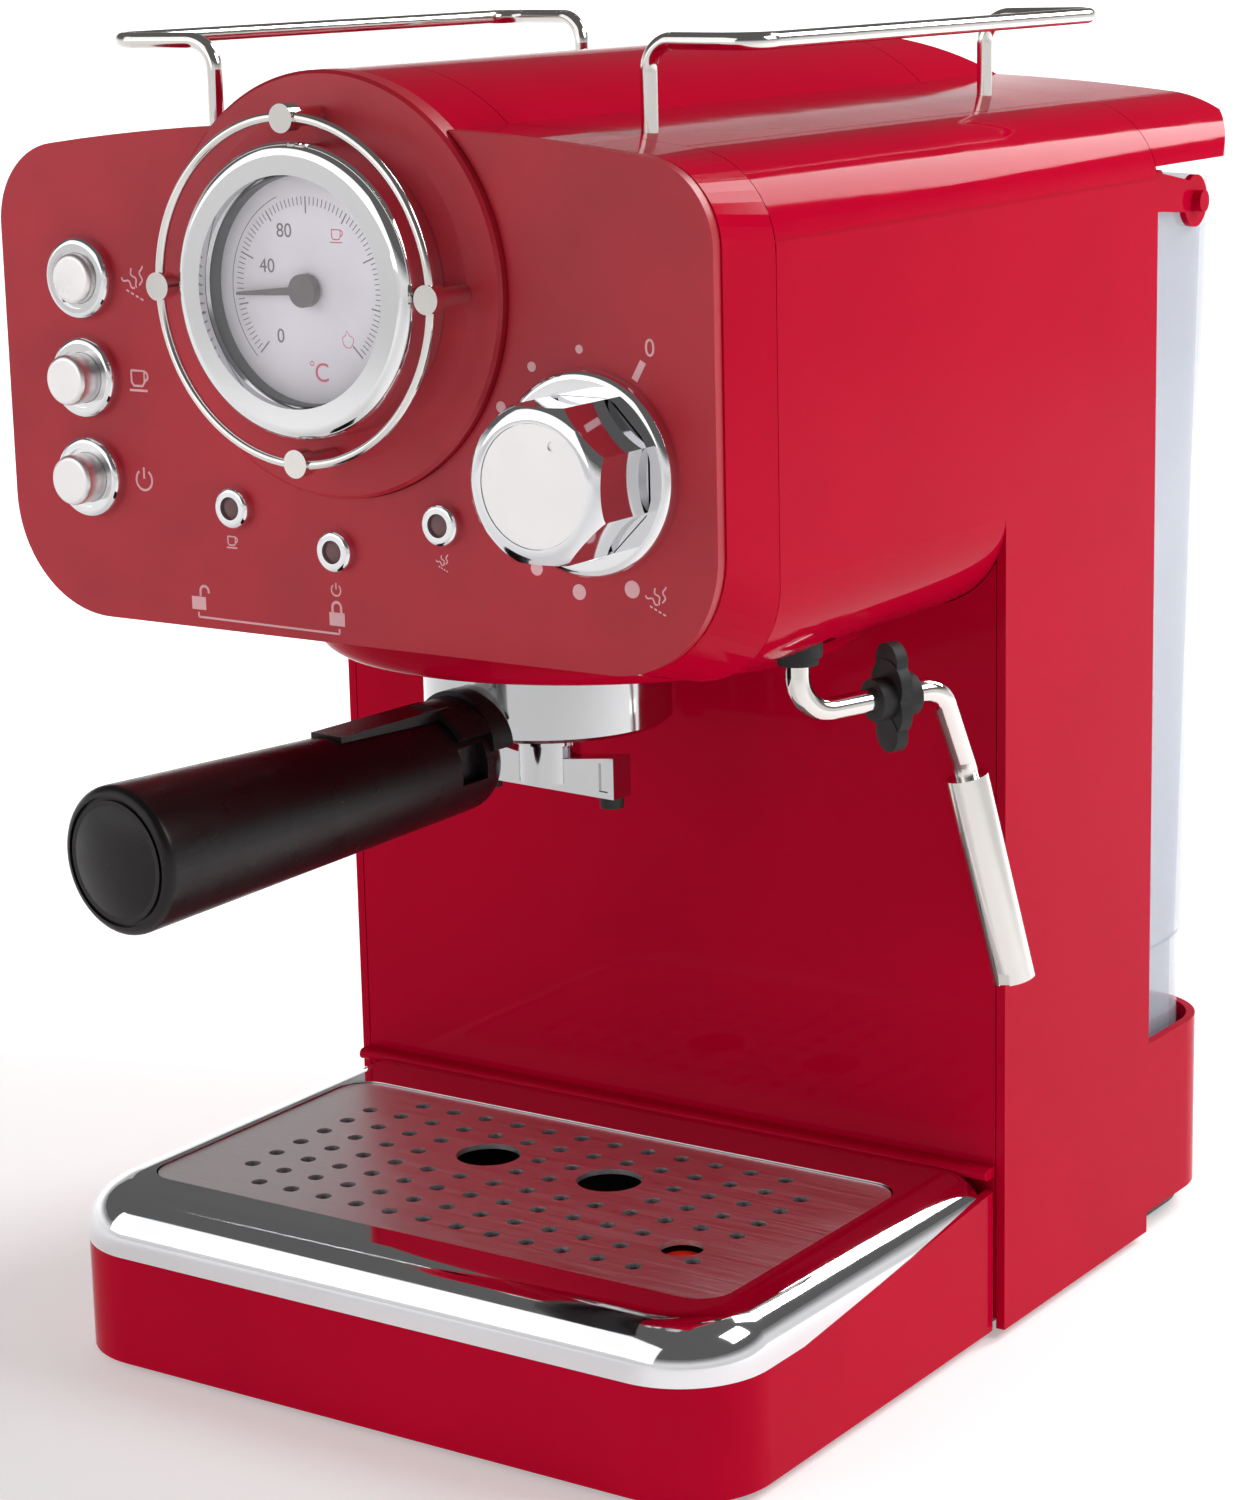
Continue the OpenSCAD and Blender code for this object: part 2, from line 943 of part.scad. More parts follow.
module steam_knob() {
    color(chrome)
        on_fascia(knob_x, knob_z)
            difference() {
                union() {
                    intersection() {
                        translate([0, 0, 2.8])
                            rotate([0, 0, 22.5])
                                cylinder(h = knob_h, r = knob_r, $fn = 8);
                        rotate_extrude($fn = 96) {
                            square([knob_flat_r + knob_round, knob_h - knob_round]);
                            square([knob_flat_r, knob_h]);
                            translate([knob_flat_r, knob_h - knob_round])
                                circle(knob_round);
                        }
                    }
                    translate([0, 0, -32])
                        cylinder(h = 36, r = 3);
                }
                translate([0, 0, knob_h - 1.2])
                    cylinder(h = 5, r = knob_face_r + 0.1);
            }
}

module knob_insert() {
    color(steel)
        on_fascia(knob_x, knob_z)
            difference() {
                translate([0, 0, knob_h - 1.2])
                    cylinder(h = 1, r = knob_face_r);
                rotate([0, 0, 60])
                    translate([10.5, 0, knob_h - 0.6])
                        cylinder(h = 2, r = 1.1);
            }
}

module steam_valve() {
    color("#b08d4a")
        on_fascia(knob_x, knob_z)
            difference() {
                translate([-11, -12, -46])
                    cube([22, 24, 26]);
                translate([0, 0, -33])
                    cylinder(h = 20, r = 3.06);
            }
}

// ---- group and boiler ----

module group_collar() {
    color(black)
        translate([0, y_group, 0])
            difference() {
                union() {
                    translate([0, 0, pan_bottom - 0.5])
                        cylinder(h = 10.4, r = ring_r);
                    translate([0, 0, head_bottom])
                        cylinder(h = 7.5, r = 29);
                }
                translate([0, 0, pan_bottom - 5])
                    cylinder(h = 11, r = 28.4);
                translate([0, 0, pan_bottom])
                    cylinder(h = 30, r = 6);
            }
}

module group_gasket() {
    color(black)
        translate([0, y_group, 0])
            tube(28.3, 25.2, ring_top - 3.4, pan_bottom + 5.9);
}

module shower_screen() {
    spots = 8;
    color(steel)
        translate([0, y_group, ring_top - 1.6])
            difference() {
                cylinder(h = 1.4, r = 25);
                for (k = [1 : 2], a = [0 : spots * k - 1])
                    rotate([0, 0, a * 360 / (spots * k)])
                        translate([8 * k, 0, -1])
                            cylinder(h = 4, r = 1.1);
            }
}

module boiler() {
    base_z = head_bottom + 7.6;
    color("#9a9c9e")
        translate([0, y_group, base_z]) {
            cylinder(h = 4, r = 38);
            cylinder(h = 38, r = 28);
            translate([0, 0, 38])
                cylinder(h = 8, r1 = 28, r2 = 20);
            for (a = [45 : 90 : 315])
                rotate([0, 0, a])
                    translate([33.5, 0, 4])
                        cylinder(h = 4, r = 2.5, $fn = 6);
        }
}

module pump() {
    color(grey)
        translate([pump_x, pump_y, pump_z]) {
            translate([-17, -17, -20])
                cube([34, 34, 40]);
            translate([0, 0, -34])
                cylinder(h = 14, r = 12);
            translate([0, 0, 20])
                cylinder(h = 22, r = 9);
        }
}

module water_hoses() {
    high_z = 262;
    color("#d8d4cc") {
        bent_bar([
            [0, valve_y, hose_z + 14], [0, valve_y, hose_z], [pump_x, valve_y, hose_z],
            [pump_x, pump_y, hose_z], [pump_x, pump_y, pump_z - 34]
        ], hose_bend, hose_r);
        bent_bar([
            [pump_x, pump_y, pump_z + 42], [pump_x, pump_y, high_z],
            [0, pump_y, high_z], [0, y_group, high_z], [0, y_group, high_z - 14.8]
        ], hose_bend, hose_r);
    }
}

// ---- portafilter ----

module portafilter_ring() {
    ledge_z = ring_top - 4.6;
    floor_z = ring_bottom + 3;
    color(chrome)
        at_group()
            rotate_extrude($fn = 96)
                polygon([
                    [3, ring_bottom - 6], [9, ring_bottom - 6], [9, ring_bottom - 5],
                    [24, ring_bottom], [ring_r - 1, ring_bottom], [ring_r, ring_bottom + 1],
                    [ring_r, ring_top - 0.6], [ring_r - 0.6, ring_top], [29.1, ring_top],
                    [29.1, ledge_z], [27.6, ledge_z], [27.6, floor_z], [3, floor_z]
                ]);
}

module filter_basket() {
    flange_z = ring_top - 4.6;
    color(steel)
        at_group()
            difference() {
                union() {
                    translate([0, 0, flange_z])
                        cylinder(h = 0.9, r = 29);
                    translate([0, 0, ring_bottom + 3.4])
                        cylinder(h = flange_z - ring_bottom - 3, r = 26.5);
                }
                translate([0, 0, ring_bottom + 4.4])
                    cylinder(h = 30, r = 25.4);
                for (k = [1 : 2], a = [0 : 6 * k - 1])
                    rotate([0, 0, a * 60 / k])
                        translate([8 * k, 0, ring_bottom])
                            cylinder(h = 8, r = 0.6);
            }
}

// The saddle that joins the grip to the ring; e grows it for the cut in the grip
module neck_form(e) {
    intersection() {
        along_handle()
            translate([0, neck_rise, 24])
                cylinder(h = neck_end - 24 + e, r = neck_r + e);
        at_group()
            translate([-20, -60, ring_bottom - 0.25 - e])
                cube([40, 60, 40]);
    }
}

module portafilter_neck() {
    color(black)
        difference() {
            neck_form(0);
            at_group()
                translate([0, 0, 100])
                    cylinder(h = 120, r = ring_r + 0.02, $fn = 96);
        }
}

// Places a piece along the drooping handle axis, +Z pointing to its free end
module along_handle() {
    at_group()
        translate([0, 0, grip_z])
            rotate([90 + pf_droop, 0, 0])
                children();
}

module handle_grip() {
    nose_r = 8;
    straight = grip_start + nose_r;
    color(black)
        difference() {
            along_handle()
                rotate_extrude()
                    union() {
                        polygon([[0, straight], [grip_near_r, straight], [grip_r, grip_end], [0, grip_end]]);
                        translate([0, grip_start])
                            square([grip_near_r - nose_r, nose_r + 0.01]);
                        translate([grip_near_r - nose_r, straight])
                            intersection() {
                                circle(nose_r);
                                translate([nose_r - grip_near_r, -nose_r - 1])
                                    square([30, nose_r + 1.01]);
                            }
                    }
            neck_form(0.02);
            at_group()
                translate([0, 0, ring_bottom - 0.3])
                    cylinder(h = 60, r = ring_r + 0.3, $fn = 96);
            along_handle() {
                translate([-5.3, 12.3, neck_end + 6.6])
                    cube([10.6, 10, clip_end - neck_end - 6.2]);
                for (s = [-1, 1])
                    translate([s * 13.5, 2, neck_end + 7.2])
                        cube([8, 9, 9.5], center = true);
            }
        }
}

module handle_cap() {
    color(black)
        along_handle()
            rotate_extrude()
                difference() {
                    union() {
                        translate([0, grip_end])
                            square([grip_r, 0.8]);
                        translate([0, grip_end])
                            square([grip_r - 2.4, 3.2]);
                        translate([grip_r - 2.4, grip_end + 0.8])
                            intersection() {
                                circle(2.4);
                                square(3);
                            }
                        intersection() {
                            translate([0, grip_end - 34])
                                circle(39.4, $fn = 96);
                            translate([0, grip_end])
                                square([grip_r - 3.4, 10]);
                        }
                    }
                    translate([grip_r - 3.2, grip_end + 2.4])
                        square([0.9, 2]);
                }
}

module filter_clip() {
    inner = 14.05;
    wing = 10.6;
    color(black)
        along_handle() {
            translate([0, 0, neck_end + 0.4])
                linear_extrude(wing)
                    difference() {
                        intersection() {
                            circle(inner + 1.9);
                            polygon([[0, 0], [-19.7, 13.8], [-19.7, 30], [19.7, 30], [19.7, 13.8]]);
                        }
                        circle(inner);
                    }
            translate([-5, 12.6, neck_end + 7])
                cube([10, 2.8, clip_end - neck_end - 7]);
        }
}

module spout() {
    arm = spout_x + 3.4;
    color(chrome)
        at_group()
            difference() {
                union() {
                    translate([0, 0, ring_bottom - 16])
                        cylinder(h = 9.9, r = 8);
                    translate([0, 0, ring_bottom - 7])
                        cylinder(h = 0.9, r = 8);
                    along_y(-spout_half, spout_half)
                        polygon([
                            [-arm, 147.4], [arm, 147.4], [arm, 158.2],
                            [8, 156], [-8, 156], [-arm, 158.2]
                        ]);
                }
                translate([0, 0, 151])
                    cylinder(h = 20, r = 3);
                for (s = [-1, 1])
                    translate([s * spout_x, 0, 146])
                        cylinder(h = 8, r = 2.2);
                translate([-spout_x, -1.8, 151])
                    cube([2 * spout_x, 3.6, 3]);
                for (s = [-1, 1])
                    translate([s * spout_x - 1.4, -spout_half - 1, 149])
                        cube([2.8, 1.5, 7.4]);
            }
}

module spout_nozzles() {
    color(black)
        at_group()
            for (s = [-1, 1])
                translate([s * spout_x, 0, 0])
                    tube(3.1, 1.8, 144.6, 147.4);
}

// ---- steam wand ----

module wand_grommet() {
    color(black)
        translate([wand_top[0], wand_top[1], 0])
            difference() {
                union() {
                    translate([0, 0, wand_top[2] - 4])
                        cylinder(h = 12, r = 6);
                    translate([0, 0, wand_top[2] - 6])
                        cylinder(h = 2.1, r = 5);
                    translate([0, 0, wand_top[2] + 5])
                        cylinder(h = 3, r = 8);
                }
                translate([0, 0, wand_top[2] - 10])
                    cylinder(h = 30, r = pipe_r + 0.06);
            }
}

module steam_pipe() {
    path = concat([wand_top + [0, 0, 8]], [for (i = [1 : 3]) wand_path[i]],
                  [wand_path[4] - sleeve_dir * 14]);
    color(chrome)
        bent_bar(path, pipe_bend, pipe_r);
}

module wand_grip() {
    d = unit(grip_to - grip_from);
    fin = 13;
    color(black)
        difference() {
            union() {
                bar(grip_from, grip_to, 5.2);
                for (s = [-1, 1]) {
                    root = (grip_from + grip_to) / 2;
                    bar(root + [0, 0, s * 3] - d * 1.6, root + [0, 0, s * 3] + d * 1.6, 6.5);
                    bar(root + [0, 0, s * (fin - 4)] - d * 1.6, root + [0, 0, s * (fin - 4)] + d * 1.6, 4.5);
                }
            }
            bar(grip_from - d * 5, grip_to + d * 5, pipe_r + 0.01);
        }
}

module frothing_sleeve() {
    a = sleeve_top + sleeve_dir * 3;
    b = wand_path[4];
    color(chrome)
        difference() {
            bar(a, b, sleeve_r);
            bar(a - sleeve_dir, b - sleeve_dir * 12, pipe_r + 0.06);
            bar(b - sleeve_dir * 12.5, b + sleeve_dir, sleeve_r - 1.4);
            translate([b[0], b[1] - sleeve_r - 1, b[2]])
                cube([3, 4, 5], center = true);
        }
}

// ---- drip tray ----

module drip_tray() {
    half = grid_w / 2 - 0.5;
    floor_z = 14;
    rim_z = grid_top - grid_t - 0.05;
    color(black)
        difference() {
            translate([0, 0, floor_z])
                linear_extrude(rim_z - floor_z)
                    plan(half, grid_y0 + 0.5, tray_y1 - 0.5, 10, 10);
            translate([0, 0, floor_z + 1.8])
                linear_extrude(60)
                    plan(half - 2, grid_y0 + 2.5, tray_y1 - 2.5, 8, 8);
        }
}

module chrome_trim() {
    inset = 2;
    color(chrome)
        intersection() {
            difference() {
                pillow(base_w / 2, y_front, y_tower - 6, trim_low_front - 4, trim_top,
                       base_corner_r, trim_edge_r);
                pillow(base_w / 2 - inset, y_front + inset, y_tower - 6 - inset, trim_low_front - 6,
                       trim_top - inset, base_corner_r - inset, trim_edge_r - inset);
                translate([0, 0, trim_low_front - 8])
                    linear_extrude(40)
                        plan(grid_w / 2 + 0.3, grid_y0 - 0.3, tray_y1 + 0.3, 9, 9);
            }
            seam_region(1, 0.1);
        }
}

module drip_grid() {
    columns = 14;
    rows = 8;
    color(steel)
        translate([0, 0, grid_top - grid_t])
            difference() {
                linear_extrude(grid_t)
                    plan(grid_w / 2, grid_y0, tray_y1, 9, 9);
                for (i = [0 : columns - 1], j = [0 : rows - 1]) {
                    x = (i - (columns - 1) / 2) * hole_pitch_x;
                    y = grid_y0 + 11.2 + j * hole_pitch_y;
                    edge = (j == 0 || j == rows - 1) && (i == 0 || i == columns - 1);
                    near_big = min([for (p = big_hole_spots) norm([x, y] - p)]) < 12.5;
                    near_float = norm([x, y] - float_spot) < 9;
                    if (!edge && !near_big && !near_float)
                        translate([x, y, -1])
                            cylinder(h = grid_t + 2, r = hole_r, $fn = 24);
                }
                for (p = big_hole_spots)
                    translate([p[0], p[1], -1])
                        cylinder(h = grid_t + 2, r = big_hole_r);
                translate([float_spot[0], float_spot[1], -1])
                    cylinder(h = grid_t + 2, r = float_r + 0.8);
            }
}

module tray_float() {
    color("#d01818")
        translate([float_spot[0], float_spot[1], 0]) {
            translate([0, 0, 17])
                cylinder(h = 10, r = 9);
            translate([0, 0, 26])
                cylinder(h = grid_top - 28.6, r = float_r);
        }
}

// ---- water tank ----

module tank_holder() {
    half = hw - 1.8;
    y0 = y_rear + seam_gap;
    y1 = holder_y1;
    color(red)
        difference() {
            translate([0, 0, holder_low])
                linear_extrude(holder_top - holder_low)
                    plan(half, y0, y1, 1, 22);
            translate([0, 0, tank_bottom - 1])
                linear_extrude(60)
                    plan(half - wall, y0 - 10, y1 - wall, 1, 22 - wall);
            translate([0, 0, -1])
                linear_extrude(tank_bottom - 2)
                    plan(half - wall, y0 - 10, y1 - wall, 1, 22 - wall);
            translate([0, valve_y, tank_bottom - 10])
                cylinder(h = 20, r = 7);
            translate([gland_x, y1 - 10, gland_z])
                rotate([-90, 0, 0])
                    cylinder(h = 20, r = 7);
        }
}

module cord_gland() {
    color(black)
        translate([gland_x, holder_y1 - wall - 3, gland_z])
            rotate([-90, 0, 0])
                difference() {
                    union() {
                        cylinder(h = 3, r = 9);
                        cylinder(h = wall + 4, r = 6.9);
                        translate([0, 0, wall + 3.05])
                            cylinder(h = 2.5, r = 9);
                    }
                    translate([0, 0, -1])
                        cylinder(h = 20, r = 3.6);
                }
}

module tank_solid(t, z0, z1) {
    lower = tank_y1 - t;
    translate([0, 0, z0])
        linear_extrude(tank_ledge - z0)
            plan(tank_w / 2 - tank_step - t, tank_y0 + t, lower, 4, tank_r - t);
    hull() {
        translate([0, 0, tank_ledge - t])
            linear_extrude(0.1)
                plan(tank_w / 2 - t, tank_y0 + t, lower + tank_step, 4, tank_r - t, $fn = 64);
        translate([0, 0, z1 - 0.1])
            linear_extrude(0.1)
                plan(tank_w / 2 - t, tank_y0 + t, lower + tank_lean, 4, tank_r - t, $fn = 64);
    }
}

module water_tank() {
    color("#cfdcec", 0.4)
        difference() {
            tank_solid(0, tank_bottom, tank_top);
            tank_solid(tank_t, tank_bottom + tank_t, tank_top + 5);
            translate([0, valve_y, tank_bottom - 1])
                cylinder(h = 5, r = 5);
        }
}

module tank_valve() {
    color(black)
        translate([0, valve_y, 0]) {
            translate([0, 0, tank_bottom - 4])
                cylinder(h = 8, r = 4.9);
            translate([0, 0, tank_bottom + 2])
                cylinder(h = 5, r = 8);
        }
}

// Outer or inner form of the lid
module lid_solid(t) {
    intersection() {
        along_y(y_rear + seam_gap, y_back)
            union() {
                cover_section(t);
                hump_section(t);
            }
        along_x(-hw, hw)
            intersection() {
                translate([lid_arc_y, lid_arc_z])
                    circle(lid_arc_r - t, $fn = 128);
                translate([y_rear + seam_gap + t, lid_low])
                    square([80, 60]);
            }
        linear_extrude(400)
            plan(hw - t, y_rear - 40, y_back - t, 1, 30 - t);
    }
}

module tank_lid() {
    color(red)
        difference() {
            lid_solid(0);
            translate([0, 0, -0.01])
                lid_solid(wall);
        }
}

module tank_handle() {
    arm_x = tank_w / 2 + 0.2;
    arm_t = 1.7;
    bar_y = 86;
    bar_r = 2.2;
    bar_z = tank_top + bar_r + 0.2;
    color(deep_red) {
        for (s = [-1, 1])
            translate([s * (arm_x + arm_t / 2), 0, 0]) {
                translate([-arm_t / 2, pin_y, pin_z])
                    rotate([0, 90, 0])
                        cylinder(h = arm_t, r = 7);
                translate([s * arm_t / 2, pin_y, pin_z])
                    rotate([0, s * 90, 0])
                        cylinder(h = 2.6, r = 2.9);
                along_x(-arm_t / 2, arm_t / 2)
                    polygon([
                        [pin_y, pin_z - 3.2], [pin_y, pin_z + 5],
                        [bar_y + bar_r, bar_z + 1], [bar_y - 2, bar_z + 1], [bar_y - 3.4, pin_z - 1]
                    ]);
            }
        translate([-arm_x - arm_t, bar_y, bar_z])
            rotate([0, 90, 0])
                cylinder(h = 2 * (arm_x + arm_t), r = bar_r);
    }
}

base_housing();
base_plate();
rubber_feet();
inner_frame();
tower_front_wall();
side_cover_right();
side_cover_left();
back_panel();
front_shell();
head_underside();
fascia();
gauge_boss();
top_cover();
cup_rail_right();
cup_rail_left();
tank_holder();
cord_gland();
gauge_bezel();
gauge_lens();
gauge_dial();
gauge_needle();
guard_ring();
guard_pegs();
button_escutcheons();
button_switches();
button_steam();
button_brew();
button_power();
light_bezels();
light_lenses();
knob_escutcheon();
steam_knob();
knob_insert();
steam_valve();
group_collar();
group_gasket();
shower_screen();
boiler();
pump();
water_hoses();
portafilter_ring();
filter_basket();
portafilter_neck();
handle_grip();
handle_cap();
filter_clip();
spout();
spout_nozzles();
wand_grommet();
steam_pipe();
wand_grip();
frothing_sleeve();
drip_tray();
chrome_trim();
drip_grid();
tray_float();
water_tank();
tank_valve();
tank_lid();
tank_handle();
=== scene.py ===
"""Looks of the espresso machine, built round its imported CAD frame. Units are metres; X right, Y back, Z up."""
import json
import math

import bmesh
import bpy
from mathutils import Matrix, Vector


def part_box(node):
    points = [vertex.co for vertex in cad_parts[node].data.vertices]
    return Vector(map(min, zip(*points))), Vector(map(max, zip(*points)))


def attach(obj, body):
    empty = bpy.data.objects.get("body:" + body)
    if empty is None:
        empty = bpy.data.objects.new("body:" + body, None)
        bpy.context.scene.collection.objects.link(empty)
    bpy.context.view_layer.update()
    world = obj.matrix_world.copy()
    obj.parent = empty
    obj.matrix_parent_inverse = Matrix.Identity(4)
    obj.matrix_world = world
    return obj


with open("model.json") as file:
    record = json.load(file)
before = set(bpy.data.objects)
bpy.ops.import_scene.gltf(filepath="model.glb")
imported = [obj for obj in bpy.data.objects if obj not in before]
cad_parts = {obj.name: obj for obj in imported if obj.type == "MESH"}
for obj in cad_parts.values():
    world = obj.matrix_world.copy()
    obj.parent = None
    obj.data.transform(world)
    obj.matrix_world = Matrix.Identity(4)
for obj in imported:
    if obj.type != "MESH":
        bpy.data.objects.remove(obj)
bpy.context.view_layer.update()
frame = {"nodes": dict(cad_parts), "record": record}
NODES = frame["nodes"]
MM = 0.001


# ---------------------------------------------------------------- materials

def new_material(name, color, rough, metal=0.0):
    """A material with its shader, its node tree and object-space coordinates."""
    mat = bpy.data.materials.new(name)
    mat.use_nodes = True
    tree = mat.node_tree
    shader = tree.nodes["Principled BSDF"]
    shader.inputs["Base Color"].default_value = (*color, 1)
    shader.inputs["Roughness"].default_value = rough
    shader.inputs["Metallic"].default_value = metal
    place = tree.nodes.new("ShaderNodeTexCoord")
    return mat, tree, shader, place.outputs["Object"]


def noise(tree, place, scale, detail=3.0, rough=0.55, stretch=None):
    """Noise in object space; stretch squeezes it along an axis, for brushed grain."""
    source = place
    if stretch:
        mapping = tree.nodes.new("ShaderNodeMapping")
        mapping.inputs["Scale"].default_value = stretch
        tree.links.new(place, mapping.inputs["Vector"])
        source = mapping.outputs["Vector"]
    node = tree.nodes.new("ShaderNodeTexNoise")
    node.inputs["Scale"].default_value = scale
    node.inputs["Detail"].default_value = detail
    node.inputs["Roughness"].default_value = rough
    tree.links.new(source, node.inputs["Vector"])
    return node.outputs["Fac"]


def spread(tree, fac, low, high, start=0.3, end=0.7):
    """Maps a factor onto a range of values."""
    node = tree.nodes.new("ShaderNodeMapRange")
    node.inputs["From Min"].default_value = start
    node.inputs["From Max"].default_value = end
    node.inputs["To Min"].default_value = low
    node.inputs["To Max"].default_value = high
    tree.links.new(fac, node.inputs["Value"])
    return node.outputs["Result"]


def vary_color(tree, shader, fac, dark, light):
    ramp = tree.nodes.new("ShaderNodeValToRGB")
    ramp.color_ramp.elements[0].position = 0.3
    ramp.color_ramp.elements[0].color = (*dark, 1)
    ramp.color_ramp.elements[1].position = 0.7
    ramp.color_ramp.elements[1].color = (*light, 1)
    tree.links.new(fac, ramp.inputs["Fac"])
    tree.links.new(ramp.outputs["Color"], shader.inputs["Base Color"])


def add_bump(tree, shader, fac, height, strength=1.0):
    """Surface relief; height is in metres."""
    bump = tree.nodes.new("ShaderNodeBump")
    bump.inputs["Distance"].default_value = height
    bump.inputs["Strength"].default_value = strength
    tree.links.new(fac, bump.inputs["Height"])
    tree.links.new(bump.outputs["Normal"], shader.inputs["Normal"])


def shade(color, factor):
    return tuple(c * factor for c in color)


def gloss_plastic(name, color, rough=0.06, shine=0.03):
    """Injection-moulded gloss plastic: slight colour drift, faint waviness, varying gloss."""
    mat, tree, shader, place = new_material(name, color, rough)
    vary_color(tree, shader, noise(tree, place, 14), shade(color, 0.93), shade(color, 1.04))
    tree.links.new(spread(tree, noise(tree, place, 60), rough * 0.7, rough * 1.4), shader.inputs["Roughness"])
    shader.inputs["Specular IOR Level"].default_value = shine
    add_bump(tree, shader, noise(tree, place, 45, 1.0), 0.00004)
    return mat


def satin_plastic(name, color, rough=0.42, grain=1400, height=0.00003, shine=0.5):
    """Moulded plastic with a fine spark-eroded grain."""
    mat, tree, shader, place = new_material(name, color, rough)
    shader.inputs["Specular IOR Level"].default_value = shine
    vary_color(tree, shader, noise(tree, place, 25), shade(color, 0.85), shade(color, 1.15))
    tree.links.new(spread(tree, noise(tree, place, 120), rough * 0.85, rough * 1.15), shader.inputs["Roughness"])
    add_bump(tree, shader, noise(tree, place, grain, 2.0), height)
    return mat


def polished_metal(name, color, rough=0.05):
    """Chrome or polished steel with faint smears in its gloss."""
    mat, tree, shader, place = new_material(name, color, rough, 1.0)
    tree.links.new(spread(tree, noise(tree, place, 35, 4.0), rough * 0.6, rough * 1.9), shader.inputs["Roughness"])
    vary_color(tree, shader, noise(tree, place, 22), shade(color, 0.95), color)
    add_bump(tree, shader, noise(tree, place, 60, 1.0), 0.00002)
    return mat


def brushed_metal(name, color, rough=0.28, stretch=(3, 220, 220), height=0.000012):
    """Satin steel with a brushed grain along X."""
    mat, tree, shader, place = new_material(name, color, rough, 1.0)
    grain = noise(tree, place, 14, 4.0, 0.7, stretch)
    tree.links.new(spread(tree, grain, rough * 0.7, rough * 1.35), shader.inputs["Roughness"])
    vary_color(tree, shader, grain, shade(color, 0.88), shade(color, 1.05))
    add_bump(tree, shader, grain, height)
    return mat


def clear_plastic(name, color, rough=0.08, alpha=0.35):
    """Thin tinted transparent moulding."""
    mat, tree, shader, place = new_material(name, color, rough)
    shader.inputs["Alpha"].default_value = alpha
    tree.links.new(spread(tree, noise(tree, place, 40), rough * 0.7, rough * 1.6), shader.inputs["Roughness"])
    add_bump(tree, shader, noise(tree, place, 30, 1.0), 0.000015)
    return mat


RED = (0.50, 0.001, 0.024)
MATERIALS = {
    "red_cover": gloss_plastic("red_gloss", RED),
    "red_fascia": satin_plastic("red_satin", (0.45, 0.011, 0.026), 0.36, 2200, 0.000012, 0.42),
    "black_base": satin_plastic("black_moulded", (0.02, 0.019, 0.02), 0.5),
    "rubber": satin_plastic("black_rubber", (0.012, 0.012, 0.013), 0.62, 900),
    "handle_black": satin_plastic("handle_black", (0.008, 0.005, 0.006), 0.3, 1600, 0.00002, 0.3),
    "grey_frame": satin_plastic("grey_moulded", (0.25, 0.25, 0.26), 0.55),
    "bright_steel": polished_metal("bright_steel", (0.80, 0.77, 0.74), 0.09),
    "satin_steel": brushed_metal("satin_steel", (0.80, 0.76, 0.78), 0.42),
    "chrome": polished_metal("chrome", (0.84, 0.84, 0.85), 0.04),
    "chrome_plastic": polished_metal("chrome_plated", (0.82, 0.82, 0.84), 0.05),
    "button_cap": polished_metal("button_satin", (0.90, 0.87, 0.87), 0.3),
    "cast_chrome": polished_metal("cast_chrome", (0.60, 0.60, 0.61), 0.07),
    "gauge_glass": clear_plastic("gauge_glass", (0.95, 0.96, 0.98), 0.02, 0.08),
    "dial_face": satin_plastic("dial_face", (0.90, 0.85, 0.92), 0.6),
    "needle_grey": satin_plastic("needle_grey", (0.12, 0.09, 0.095), 0.5),
    "lamp_lens": gloss_plastic("lamp_lens", (0.21, 0.125, 0.13), 0.2),
    "brass": polished_metal("brass", (0.70, 0.50, 0.22), 0.2),
    "boiler_alloy": brushed_metal("boiler_alloy", (0.55, 0.55, 0.56), 0.4, (60, 60, 60)),
    "clear_tank": clear_plastic("clear_tank", (0.52, 0.56, 0.66), 0.1, 0.38),
    "float_red": gloss_plastic("float_red", (0.72, 0.02, 0.01)),
    "print_pink": satin_plastic("print_pink", (0.78, 0.42, 0.45), 0.5),
    # Near-black sleeve inside the gauge bezel: painted shade for the shadow ring round the dial.
    "painted_bezel_shade": satin_plastic("bezel_painted_shade", (0.018, 0.016, 0.018), 0.4),
    "dial_ink": satin_plastic("dial_ink", (0.16, 0.14, 0.17), 0.6),
    "dial_red": satin_plastic("dial_red", (0.75, 0.06, 0.16), 0.6),
}


def dress_cad():
    """Gives every CAD node the material of its slot."""
    for part in frame["record"]["subparts"]:
        node = NODES[part["node"]]
        node.data.materials.clear()
        node.data.materials.append(MATERIALS[part["material_slot"]])


# ---------------------------------------------------------------- pieces

def add_piece(name, data, material):
    """Links a mesh, curve or text as an object."""
    piece = bpy.data.objects.new(name, data)
    data.materials.append(material)
    bpy.context.scene.collection.objects.link(piece)
    return piece


def settle(piece):
    """Fixes a placed piece to the housing."""
    bpy.context.view_layer.update()
    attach(piece, "housing")


def solid_mesh(name, verts, faces):
    """A closed mesh whose faces all look outwards."""
    mesh = bpy.data.meshes.new(name)
    mesh.from_pydata(verts, [], faces)
    work = bmesh.new()
    work.from_mesh(mesh)
    bmesh.ops.recalc_face_normals(work, faces=work.faces)
    work.to_mesh(mesh)
    work.free()
    return mesh


def slab_mesh(name, outlines, front, depth):
    """Flat shapes that face -Y: each outline is a list of (x, z) in mm, standing from front to front + depth."""
    verts = []
    faces = []
    for outline in outlines:
        base = len(verts)
        n = len(outline)
        for y in (front, front + depth):
            verts += [(x * MM, y * MM, z * MM) for x, z in outline]
        faces.append(tuple(base + k for k in range(n)))
        faces.append(tuple(base + n + k for k in reversed(range(n))))
        for k in range(n):
            after = (k + 1) % n
            faces.append((base + k, base + n + k, base + n + after, base + after))
    return solid_mesh(name, verts, faces)


